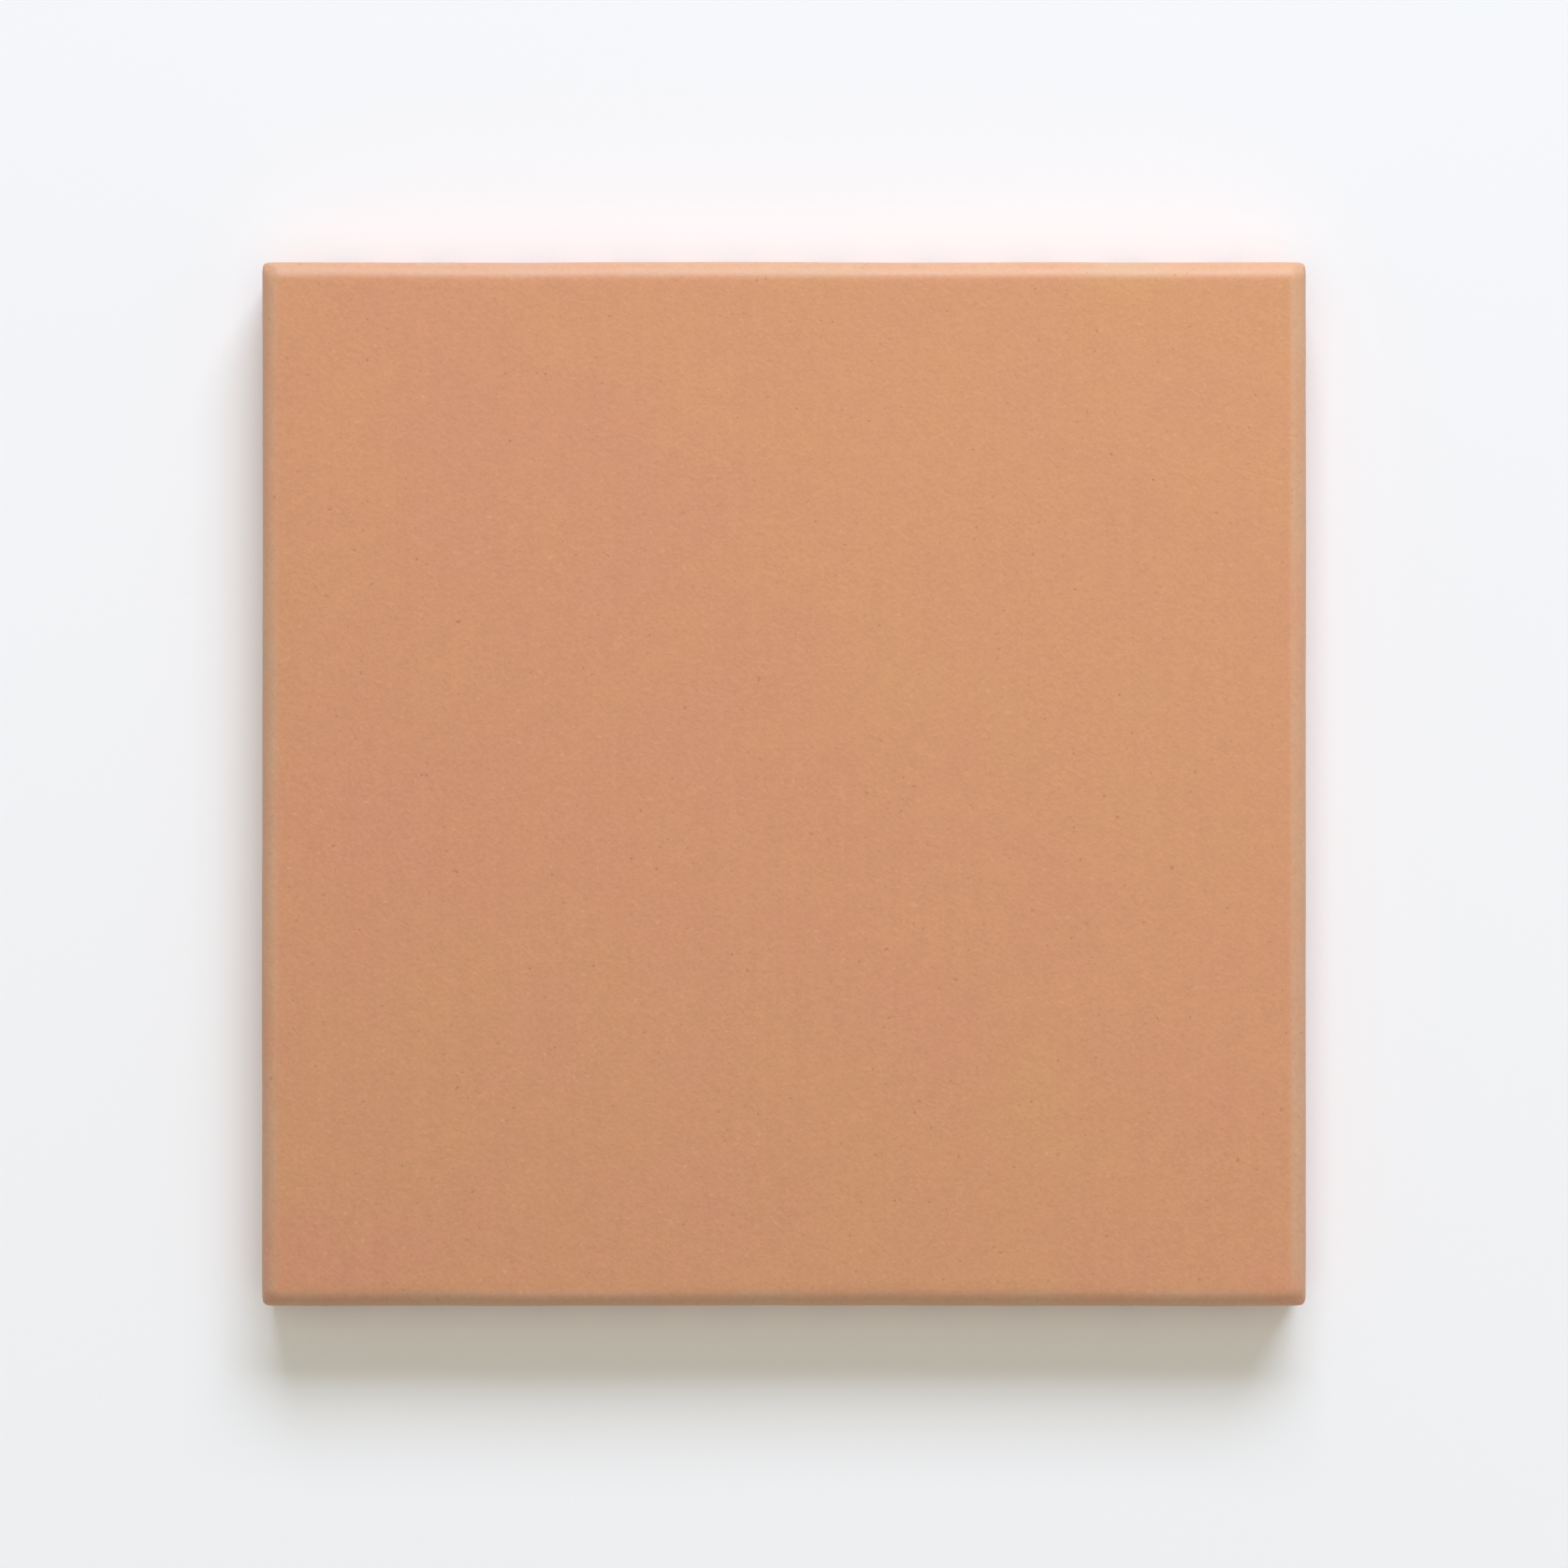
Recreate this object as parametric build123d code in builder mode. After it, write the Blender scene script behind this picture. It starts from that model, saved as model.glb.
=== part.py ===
from build123d import *
import os

# Square quarry tile, one fired piece of unglazed clay.
# The origin is the centre of the back, on the bedding plane, and +Z points out of the face.
# Sizes are in millimetres and degrees.

# Slab
side = 150.0
thickness = 12.5

# Edges: the rolled arris round the face, the upright corners and the eased edge round the back
arris_radius = 3.0
corner_radius = 1.2
back_chamfer = 0.6

# Keyed back: an even number of dovetail grooves, so that a land lies on the middle of the tile
key_count = 10
key_width = 7.0
key_depth = 1.5
key_undercut = 18.0

# Equal lands between the grooves and along both outer edges
key_land = (side - key_count * key_width) / (key_count + 1)
key_pitch = key_width + key_land

with BuildPart() as tile:
    # Slab with square corners
    with BuildSketch():
        Rectangle(side, side)
    extrude(amount=thickness)

    # Arris rolled along each edge of the face, mitred where two of them meet
    fillet(tile.faces().sort_by(Axis.Z)[-1].edges(), radius=arris_radius)
    chamfer(tile.faces().sort_by(Axis.Z)[0].edges(), length=back_chamfer)

    # Upright corners eased by the outline of the tile in plan
    with BuildSketch():
        RectangleRounded(side, side, corner_radius)
    extrude(amount=thickness, mode=Mode.INTERSECT)

    # Dovetail keys, widest at their floor, drawn right through the back along Y
    with BuildSketch(Plane.XZ):
        with GridLocations(key_pitch, 0, key_count, 1):
            Trapezoid(key_width, key_depth, 90 + key_undercut, align=(Align.CENTER, Align.MIN))
    extrude(amount=side / 2, both=True, mode=Mode.SUBTRACT)

tile.part.label = "tile"

os.makedirs("parts", exist_ok=True)
export_step(tile.part, "parts/tile.step")
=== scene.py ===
"""Square terracotta tile lying face up on a pale floor, under soft light from its far side."""

import math

import bmesh
import bpy
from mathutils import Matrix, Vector, noise


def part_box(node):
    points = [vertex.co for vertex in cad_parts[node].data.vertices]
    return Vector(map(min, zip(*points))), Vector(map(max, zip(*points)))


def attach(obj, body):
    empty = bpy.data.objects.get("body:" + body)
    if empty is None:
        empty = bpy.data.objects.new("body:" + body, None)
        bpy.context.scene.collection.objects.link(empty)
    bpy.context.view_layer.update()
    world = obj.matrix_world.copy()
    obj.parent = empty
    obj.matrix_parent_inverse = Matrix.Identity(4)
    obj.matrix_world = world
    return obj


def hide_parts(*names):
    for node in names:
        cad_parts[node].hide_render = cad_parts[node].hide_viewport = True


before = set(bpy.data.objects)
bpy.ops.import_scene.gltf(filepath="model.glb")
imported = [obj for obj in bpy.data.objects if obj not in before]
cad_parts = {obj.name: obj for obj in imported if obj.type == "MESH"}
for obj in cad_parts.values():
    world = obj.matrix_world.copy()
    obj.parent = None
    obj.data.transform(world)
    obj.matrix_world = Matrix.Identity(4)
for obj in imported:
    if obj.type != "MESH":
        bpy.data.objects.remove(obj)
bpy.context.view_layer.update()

MM = 0.001
X, Y, Z = 0, 1, 2

# The tile's own sizes in metres. The box is the tile part's in model.glb, and the edges and keys repeat the
# solid's.
tile_low, tile_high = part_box("tile")
side = tile_high.x - tile_low.x
half = side / 2
thickness = tile_high.z
arris_radius = 3.0 * MM
back_edge_radius = 0.6 * MM
key_count = 10
key_width = 7.0 * MM
key_depth = 1.5 * MM
key_undercut = math.radians(18.0)
key_land = (side - key_count * key_width) / (key_count + 1)
key_pitch = key_width + key_land
key_flare = key_depth * math.tan(key_undercut)

# The lattice of the clay's surface
lattice_pitch = 1.2 * MM
arris_steps = 6
back_edge_steps = 2
nearly_along = 0.9
facing_down = -0.5
touching = 0.01 * MM

# How the edges are rounded: a low power gives a round corner, a high one a square corner
outline_corner_power = 6.0
face_corner_power = 2.2
arris_unevenness = 0.14
arris_wave = 26 * MM
key_soften_reach = 1.0 * MM
key_soften_passes = 3
key_soften_factor = 0.5

# Waves in which the clay has sunk from true: the length, the depth and the seed of each
FACE_WAVES = ((55 * MM, 0.10 * MM, 3.1), (14 * MM, 0.03 * MM, 7.7))
SIDE_WAVES = ((32 * MM, 0.22 * MM, 11.3), (7 * MM, 0.07 * MM, 17.9))
BACK_WAVES = ((20 * MM, 0.05 * MM, 23.5),)


# Shape of the clay

def key_walls():
    """(place along X, side on which the groove lies) of each upright wall of the keyed back."""
    walls = []
    for key in range(key_count):
        middle = (key - (key_count - 1) / 2) * key_pitch
        walls.append((middle - key_width / 2, 1))
        walls.append((middle + key_width / 2, -1))
    return walls


def cut_across(clay, axis, place):
    """A cut right through the slab, square to one axis."""
    normal = Vector((0, 0, 0))
    normal[axis] = 1
    everything = clay.verts[:] + clay.edges[:] + clay.faces[:]
    bmesh.ops.bisect_plane(clay, geom=everything, plane_co=normal * place, plane_no=normal)


def rounding_lines(edge, radius, steps):
    """Places from the start of a rounded edge out to near its end, that lie evenly along its arc."""
    eighth = math.radians(45)
    return [edge - radius + radius * math.tan(eighth * step / steps) for step in range(steps)]


def refine(clay, axis):
    """Splits the edges along one axis until they are about as long as the lattice's pitch."""
    by_cuts = {}
    for edge in clay.edges:
        run = edge.verts[1].co - edge.verts[0].co
        cuts = round(run.length / lattice_pitch) - 1
        if cuts > 0 and abs(run[axis]) > nearly_along * run.length:
            by_cuts.setdefault(cuts, []).append(edge)
    for cuts, edges in by_cuts.items():
        bmesh.ops.subdivide_edges(clay, edges=edges, cuts=cuts, use_grid_fill=True)


def drawn_slab():
    """The slab with square edges: a core, and the lands of the keyed back drawn down out of it."""
    clay = bmesh.new()
    bmesh.ops.create_cube(clay, size=1.0)
    core = thickness - key_depth
    bmesh.ops.scale(clay, vec=(side, side, core), verts=clay.verts)
    bmesh.ops.translate(clay, vec=(0, 0, key_depth + core / 2), verts=clay.verts)
    walls = key_walls()
    rim = rounding_lines(half, arris_radius, arris_steps)
    rim += rounding_lines(half, back_edge_radius, back_edge_steps)
    for line in rim:
        for axis in (X, Y):
            cut_across(clay, axis, line)
            cut_across(clay, axis, -line)
    for line in rounding_lines(thickness, arris_radius, arris_steps):
        cut_across(clay, Z, line)
    for place, _ in walls:
        cut_across(clay, X, place)

    def on_land(face):
        beyond = sum(1 for place, _ in walls if place < face.calc_center_median().x)
        return face.normal.z < facing_down and beyond % 2 == 0

    lands = [face for face in clay.faces if on_land(face)]
    drawn = bmesh.ops.extrude_face_region(clay, geom=lands)
    feet = [part for part in drawn["geom"] if isinstance(part, bmesh.types.BMVert)]
    bmesh.ops.translate(clay, vec=(0, 0, -key_depth), verts=feet)
    bmesh.ops.delete(clay, geom=lands, context="FACES")
    for line in rounding_lines(back_edge_radius, back_edge_radius, back_edge_steps):
        cut_across(clay, Z, back_edge_radius - line)
    for axis in (X, Y, Z):
        refine(clay, axis)
    return clay


def undercut_keys(clay):
    """Leans the groove walls over, so that each groove narrows to its mouth, and softens their edges."""
    soft = []
    for vert in clay.verts:
        if vert.co.z > key_depth + touching:
            continue
        for place, groove_side in key_walls():
            gap = vert.co.x - place
            if abs(gap) < touching:
                vert.co.x += groove_side * key_flare * (1 - vert.co.z / key_depth)
            if abs(gap) < key_soften_reach:
                soft.append(vert)
                break
    for _ in range(key_soften_passes):
        bmesh.ops.smooth_vert(
            clay, verts=soft, factor=key_soften_factor, use_axis_x=True, use_axis_y=False, use_axis_z=True)


def eased(place):
    """Where a point of the square-edged slab goes once the arris, corners and back edge are rounded."""
    radius = arris_radius * (1 + arris_unevenness * noise.noise(place / arris_wave))
    core = half - radius
    over_x = max(abs(place.x) - core, 0)
    over_y = max(abs(place.y) - core, 0)
    z = place.z
    above = z - (thickness - radius)
    below = back_edge_radius - z
    rise = min(max(above / radius, 0), 1)
    power = outline_corner_power + (face_corner_power - outline_corner_power) * rise
    over = (over_x ** power + over_y ** power) ** (1 / power)
    if over == 0:
        return place.copy()
    if above > 0:
        shrink = radius / max(math.hypot(over, above), radius)
        z = thickness - radius + above * shrink
    elif below > 0:
        inner = radius - back_edge_radius
        out = max(over - inner, 0)
        pull = back_edge_radius / max(math.hypot(out, below), back_edge_radius)
        shrink = (min(over, inner) + out * pull) / over
        z = back_edge_radius - below * pull
    else:
        shrink = radius / max(over, radius)
    x = place.x if over_x == 0 else math.copysign(core + over_x * shrink, place.x)
    y = place.y if over_y == 0 else math.copysign(core + over_y * shrink, place.y)
    return Vector((x, y, z))


def hollow(place, waves):
    """How far the clay has sunk at a point, from nothing to the depth of all its waves."""
    sunk = 0
    for length, depth, seed in waves:
        swell = noise.noise(place / length + Vector((seed, seed, seed)))
        sunk += depth * (0.5 + 0.5 * swell)
    return sunk


def stray(clay):
    """Lets the clay sink a little from true, never outwards, in slow waves and shorter ones."""
    clay.normal_update()
    sunk = {}
    for vert in clay.verts:
        level = abs(vert.normal.z)
        flat = hollow(vert.co, FACE_WAVES if vert.normal.z > 0 else BACK_WAVES)
        sunk[vert] = level * flat + (1 - level) * hollow(vert.co, SIDE_WAVES)
    for vert, depth in sunk.items():
        vert.co -= vert.normal * depth


def clay_tile():
    """The whole tile as one closed piece."""
    clay = drawn_slab()
    undercut_keys(clay)
    for vert in clay.verts:
        vert.co = eased(vert.co)
    stray(clay)
    mesh = bpy.data.meshes.new("clay_tile")
    clay.to_mesh(mesh)
    clay.free()
    mesh.shade_smooth()
    piece = bpy.data.objects.new("clay_tile", mesh)
    bpy.context.scene.collection.objects.link(piece)
    return piece


# Finishes

class Field:
    """A value, colour or vector over a surface. Sums and products of values add their Math nodes."""

    def __init__(self, finish, socket):
        self.finish = finish
        self.socket = socket

    def sum_with(self, operation, first, second):
        return self.finish.node("ShaderNodeMath", {"operation": operation}, {0: first, 1: second})

    def __add__(self, other):
        return self.sum_with("ADD", self, other)

    def __radd__(self, other):
        return self.sum_with("ADD", other, self)

    def __sub__(self, other):
        return self.sum_with("SUBTRACT", self, other)

    def __rsub__(self, other):
        return self.sum_with("SUBTRACT", other, self)

    def __mul__(self, other):
        return self.sum_with("MULTIPLY", self, other)

    def __rmul__(self, other):
        return self.sum_with("MULTIPLY", other, self)


class Finish:
    """The nodes of one material or of the world, each added by the same method."""

    def __init__(self, owner):
        owner.use_nodes = True
        self.tree = owner.node_tree
        self.tree.nodes.clear()

    def node(self, kind, settings=None, sockets=None, out=0):
        """Adds a node, sets it up, fills or links its sockets and gives one of its outputs."""
        made = self.tree.nodes.new(kind)
        for name, value in (settings or {}).items():
            setattr(made, name, value)
        for name, value in (sockets or {}).items():
            if isinstance(value, Field):
                self.tree.links.new(value.socket, made.inputs[name])
            else:
                made.inputs[name].default_value = value
        return Field(self, made.outputs[out]) if made.outputs else None

    def place(self):
        """The point's place on the piece, in metres."""
        return self.node("ShaderNodeTexCoord", out="Object")

    def parts(self, vector):
        """A vector's three values."""
        split = self.node("ShaderNodeSeparateXYZ", sockets={"Vector": vector})
        outputs = split.socket.node.outputs
        return [Field(self, outputs[name]) for name in ("X", "Y", "Z")]

    def stretched(self, vector, scale=(1, 1, 1), shift=(0, 0, 0), turn=(0, 0, 0)):
        """A place moved, turned or scaled, so that a pattern lies another way."""
        sockets = {"Vector": vector, "Scale": scale, "Location": shift, "Rotation": turn}
        return self.node("ShaderNodeMapping", sockets=sockets)

    def mottle(self, vector, size, detail=2.0, roughness=0.5):
        """Cloudy values about 0, mostly within -0.5 to 0.5, in patches of about one size."""
        sockets = {
            "Vector": vector, "Scale": 1 / size, "Detail": detail, "Roughness": roughness, "Lacunarity": 2.3}
        return self.node("ShaderNodeTexNoise", sockets=sockets) * 2 - 1

    def between(self, value, low, high):
        """A soft step from 0 at low to 1 at high."""
        sockets = {"Value": value, "From Min": low, "From Max": high}
        return self.node("ShaderNodeMapRange", {"interpolation_type": "SMOOTHSTEP"}, sockets)

    def size_of(self, value):
        """A value without its sign."""
        return self.node("ShaderNodeMath", {"operation": "ABSOLUTE"}, {0: value})

    def larger(self, first, second):
        """The larger of two values."""
        return self.node("ShaderNodeMath", {"operation": "MAXIMUM"}, {0: first, 1: second})

    def blend(self, first, second, share):
        """A colour between two others. The Mix node holds its colours at these sockets."""
        factor, colour_a, colour_b, result = 0, 6, 7, 2
        sockets = {factor: share, colour_a: first, colour_b: second}
        return self.node("ShaderNodeMix", {"data_type": "RGBA"}, sockets, out=result)

    def lit(self, colour, gain):
        """A colour made lighter or darker."""
        sockets = {0: colour, "Scale": gain}
        return self.node("ShaderNodeVectorMath", {"operation": "SCALE"}, sockets)


def srgb(red, green, blue):
    """A colour written as a screen shows it, as the shader takes it."""
    def linear(level):
        share = level / 255
        return share / 12.92 if share <= 0.04045 else ((share + 0.055) / 1.055) ** 2.4
    return (linear(red), linear(green), linear(blue), 1.0)


# Colours of the clay, and how much of each shows
ROSY_CLAY = srgb(209, 147, 112)
OCHRE_CLAY = srgb(205, 150, 107)
# Paler, creamier arris colour: partly a worn, dusty edge, partly a painted highlight
WORN_AND_HIGHLIGHT_CLAY = srgb(190, 168, 142)
SIDE_CLAY = srgb(190, 126, 90)
IRON_SPECK = srgb(112, 66, 46)
GROG_SPECK = srgb(226, 184, 150)
ochre_share = 0.5
ochre_drift = 0.9
ochre_cloud = 0.7
worn_and_highlight_share = 0.27
worn_and_highlight_cloud = 0.30
side_share = 0.35
back_share = 0.15
iron_share = 0.28
grog_share = 0.20

# Zones of the finish: levels up the tile, and distances out from its middle
side_level = thickness - 3.4 * MM
arris_level = thickness - 1.8 * MM
back_reach = half - 1.2 * MM
side_reach = half - 0.5 * MM
face_reach = half - 3.2 * MM
arris_reach = half - 2.0 * MM
corner_blend = 0.3 * MM

# Patterns of the clay: the size of their patches, and how each is laid so that no two agree
drift_size = 80 * MM
cloud_size = 15 * MM
mealy_size = 2.4 * MM
grain_size = 0.75 * MM
grit_size = 0.42 * MM
line_size = 1.0 * MM
fleck_size = 0.8 * MM
DRIFT_SHIFT = (0.4, 0.1, 0)
GRAIN_TURN = (0.7, 0.4, 1.1)
GRIT_TURN = (1.9, 0.8, 0.3)
FLECK_TURN = (0.2, 1.3, 0.6)
DIE_STRETCH = (1, 0.02, 1)
WIRE_STRETCH = (1, 1, 0.10)

# Where a pattern is strong enough to make a pit, a torn pore or a speck: from none to whole
PIT = (0.85, 1.05)
TORN = (0.30, 0.85)
IRON = (0.66, 0.76)
GROG = (0.58, 0.70)

# Tone: how much lighter the clay gets for each metre along the tile towards the window's side, partly its
# own drift and partly painted light, and how much each pattern lightens or darkens
drift_and_painted_light_x = 0.50
drift_and_painted_light_y = 0.85
drift_tone = 0.03
cloud_tone = 0.04
mealy_tone = 0.06
grain_tone = 0.08
grit_tone = 0.07
# Pits are darkened: painted shade in the recesses the bump sinks
painted_pit_shade = 0.18
face_line_tone = 0.025
drawn_line_tone = 0.12
scrape_tone = 0.11
# Torn pores are darkened: painted shade in their recesses
painted_torn_shade = 0.14

# Relief in millimetres
grain_relief = 0.026
grit_relief = 0.018
pit_depth = 0.05
arris_smoothing = 0.45
face_line_relief = 0.012
drawn_grain_relief = 0.05
drawn_line_relief = 0.12
cut_grain_relief = 0.07
scrape_relief = 0.17
torn_depth = 0.12

# Roughness, and what each zone or pattern adds to it
face_roughness = 0.94
arris_polish = 0.42
grain_roughness = 0.12
mealy_roughness = 0.08
cloud_roughness = 0.06
side_roughness = 0.08
back_roughness = 0.10
pit_roughness = 0.1


def fired_clay():
    """Matt unglazed terracotta: slow drift of tone with painted light towards the window, grain, pores
    darkened with painted shade, specks, an arris paled partly by wear and partly by a painted highlight, and
    drawn or cut sides.
    """
    material = bpy.data.materials.new("fired_clay")
    finish = Finish(material)
    place = finish.place()
    x, y, z = finish.parts(place)
    out_x = finish.size_of(x)
    out_y = finish.size_of(y)

    # Where on the tile: the arris, the back, and the sides drawn through the die or cut by the wire
    below_arris = 1 - finish.between(z, side_level, arris_level)
    reach = finish.larger(out_x, out_y)
    outside = finish.between(reach, back_reach, side_reach)
    on_side = below_arris * outside
    on_cut = on_side * finish.between(out_y - out_x, -corner_blend, corner_blend)
    on_drawn = below_arris - on_cut
    on_back = below_arris * (1 - outside)
    on_face = 1 - below_arris
    on_arris = on_face * finish.between(reach, face_reach, arris_reach)

    # Slow drift of tone, grain that gets finer and finer, and pits where the grain sinks most
    askew = finish.stretched(place, turn=GRAIN_TURN)
    drift = finish.mottle(finish.stretched(place, shift=DRIFT_SHIFT), drift_size, detail=1.0)
    cloud = finish.mottle(askew, cloud_size)
    mealy = finish.mottle(askew, mealy_size)
    grain = finish.mottle(askew, grain_size, detail=1.0)
    grit = finish.mottle(finish.stretched(place, turn=GRIT_TURN), grit_size, detail=1.0)
    sunk = 0 - grain - grit
    pit = finish.between(sunk, *PIT)
    torn = finish.between(sunk, *TORN)

    # Lines drawn by the die along the tile, and scraped by the wire down its cut sides
    die_line = finish.mottle(finish.stretched(place, DIE_STRETCH), line_size, roughness=0.6)
    scrape = finish.mottle(finish.stretched(place, WIRE_STRETCH), line_size, roughness=0.65)

    # Iron and crushed grog
    fleck = finish.mottle(finish.stretched(place, turn=FLECK_TURN), fleck_size, detail=0.0)
    iron = finish.between(fleck, *IRON)
    grog = finish.between(0 - fleck, *GROG)

    # Lighter towards the window's side: partly the clay's own drift, partly painted light
    drift_and_painted_light = x * drift_and_painted_light_x + y * drift_and_painted_light_y
    ochre = ochre_share + ochre_drift * drift + ochre_cloud * cloud
    colour = finish.blend(ROSY_CLAY, OCHRE_CLAY, ochre)
    colour = finish.blend(colour, SIDE_CLAY, side_share * on_side + back_share * on_back)
    # The arris paled: partly wear, partly a painted highlight
    colour = finish.blend(colour, WORN_AND_HIGHLIGHT_CLAY, on_arris * (worn_and_highlight_share + worn_and_highlight_cloud * cloud))
    gain = 1 + drift_and_painted_light + drift_tone * drift + cloud_tone * cloud + mealy_tone * mealy
    gain = gain + grain_tone * grain + grit_tone * grit
    # Pits darkened with painted shade
    gain = gain + face_line_tone * die_line * on_face - painted_pit_shade * pit
    gain = gain + drawn_line_tone * die_line * on_drawn
    # Torn pores on the cut sides darkened with painted shade
    gain = gain + (scrape_tone * scrape - painted_torn_shade * torn) * on_cut
    colour = finish.lit(colour, gain)
    colour = finish.blend(colour, IRON_SPECK, iron_share * iron)
    colour = finish.blend(colour, GROG_SPECK, grog_share * grog)

    fine = grain_relief * grain + grit_relief * grit - pit_depth * pit
    height = fine * (1 - arris_smoothing * on_arris) + face_line_relief * die_line * on_face
    height = height + (drawn_grain_relief * grain + drawn_line_relief * die_line) * on_drawn
    cut = cut_grain_relief * grain + scrape_relief * scrape - torn_depth * torn
    height = height + cut * on_cut
    normal = finish.node("ShaderNodeBump", sockets={"Height": height, "Distance": MM, "Strength": 1.0})

    roughness = face_roughness - arris_polish * on_arris
    roughness = roughness + grain_roughness * grain + mealy_roughness * mealy + cloud_roughness * cloud
    roughness = roughness + side_roughness * on_side + back_roughness * on_back + pit_roughness * pit
    shader = finish.node("ShaderNodeBsdfPrincipled", sockets={
        "Base Color": colour, "Roughness": roughness, "Normal": normal, "Specular IOR Level": 0.5})
    finish.node("ShaderNodeOutputMaterial", sockets={"Surface": shader})
    return material


# Floor, light and camera

FLOOR_COLOUR = (0.91, 0.922, 0.935, 1.0)
BACKDROP_COLOUR = (0.945, 0.95, 0.955, 1.0)
floor_radius = 6.0
fade_start = 0.12
fade_end = 0.42

world_level = 0.305
WORLD_TINT = (1.0, 0.965, 0.86, 1.0)

face_share_of_frame = 0.67
camera_height = 3.8 * side
sensor_width = 36.0


def seen_directly(finish):
    """1 for the camera and for what shows it the background by gloss or through glass, else 0."""
    path = finish.node("ShaderNodeLightPath").socket.node.outputs
    names = ("Is Camera Ray", "Is Glossy Ray", "Is Transmission Ray")
    camera, gloss, glass = [Field(finish, path[name]) for name in names]
    return camera + gloss + glass


def pale_floor():
    """A wide plain floor that keeps the tile's shadow and fades into the backdrop far from it."""
    material = bpy.data.materials.new("pale_floor")
    finish = Finish(material)
    distance = finish.node(
        "ShaderNodeVectorMath", {"operation": "LENGTH"}, {0: finish.place()}, out="Value")
    fade = finish.between(distance, fade_start, fade_end) * seen_directly(finish)
    matt = finish.node("ShaderNodeBsdfDiffuse", sockets={"Color": FLOOR_COLOUR})
    plain = finish.node("ShaderNodeEmission", sockets={"Color": BACKDROP_COLOUR, "Strength": 1.0})
    shader = finish.node("ShaderNodeMixShader", sockets={0: fade, 1: matt, 2: plain})
    finish.node("ShaderNodeOutputMaterial", sockets={"Surface": shader})

    disc = bmesh.new()
    bmesh.ops.create_circle(disc, cap_ends=True, radius=floor_radius, segments=96)
    mesh = bpy.data.meshes.new("floor")
    disc.to_mesh(mesh)
    disc.free()
    mesh.materials.append(material)
    floor = bpy.data.objects.new("floor", mesh)
    bpy.context.scene.collection.objects.link(floor)


def soft_surroundings():
    """Even light from all round, and a pale backdrop where the camera looks past the floor."""
    world = bpy.data.worlds.new("surroundings")
    bpy.context.scene.world = world
    finish = Finish(world)
    even = finish.node("ShaderNodeBackground", sockets={"Color": WORLD_TINT, "Strength": world_level})
    plain = finish.node("ShaderNodeBackground", sockets={"Color": BACKDROP_COLOUR, "Strength": 1.0})
    shader = finish.node("ShaderNodeMixShader", sockets={0: seen_directly(finish), 1: even, 2: plain})
    finish.node("ShaderNodeOutputWorld", sockets={"Surface": shader})


def soft_lamp(name, level, tint, distance, height, bearing, width, depth):
    """A broad lamp turned to the tile, that gives the floor there one level of light."""
    light = bpy.data.lights.new(name, "AREA")
    light.shape = "RECTANGLE"
    light.size = width
    light.size_y = depth
    light.color = tint
    light.energy = level * math.pi ** 2 * distance ** 2 / math.sin(height)
    lamp = bpy.data.objects.new(name, light)
    along = math.cos(height)
    towards = Vector((math.sin(bearing) * along, math.cos(bearing) * along, math.sin(height)))
    lamp.location = towards * distance
    lamp.rotation_euler = towards.to_track_quat("Z", "Y").to_euler()
    bpy.context.scene.collection.objects.link(lamp)


def lamps():
    """A window beyond the far edge of the tile, and a ceiling that gives back a softer, warmer light."""
    soft_lamp(
        "window_lamp", level=0.50, tint=(0.96, 1.025, 1.21), distance=3.0,
        height=math.radians(34), bearing=math.radians(10), width=2.25, depth=1.23)
    soft_lamp(
        "ceiling_lamp", level=0.305, tint=(1.04, 0.98, 0.80), distance=1.6,
        height=math.radians(88), bearing=math.radians(180), width=1.6, depth=1.6)


def overhead_camera():
    """Straight down on the middle of the face, the far edge at the top of the picture."""
    camera = bpy.data.cameras.new("camera")
    camera.sensor_width = sensor_width
    camera.lens = sensor_width * camera_height * face_share_of_frame / side
    eye = bpy.data.objects.new("camera", camera)
    eye.location = (0, 0, thickness + camera_height)
    bpy.context.scene.collection.objects.link(eye)
    bpy.context.scene.camera = eye


tile = clay_tile()
tile.data.materials.append(fired_clay())
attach(tile, "root")
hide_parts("tile")

pale_floor()
soft_surroundings()
lamps()
overhead_camera()
bpy.context.scene.view_settings.view_transform = "Standard"
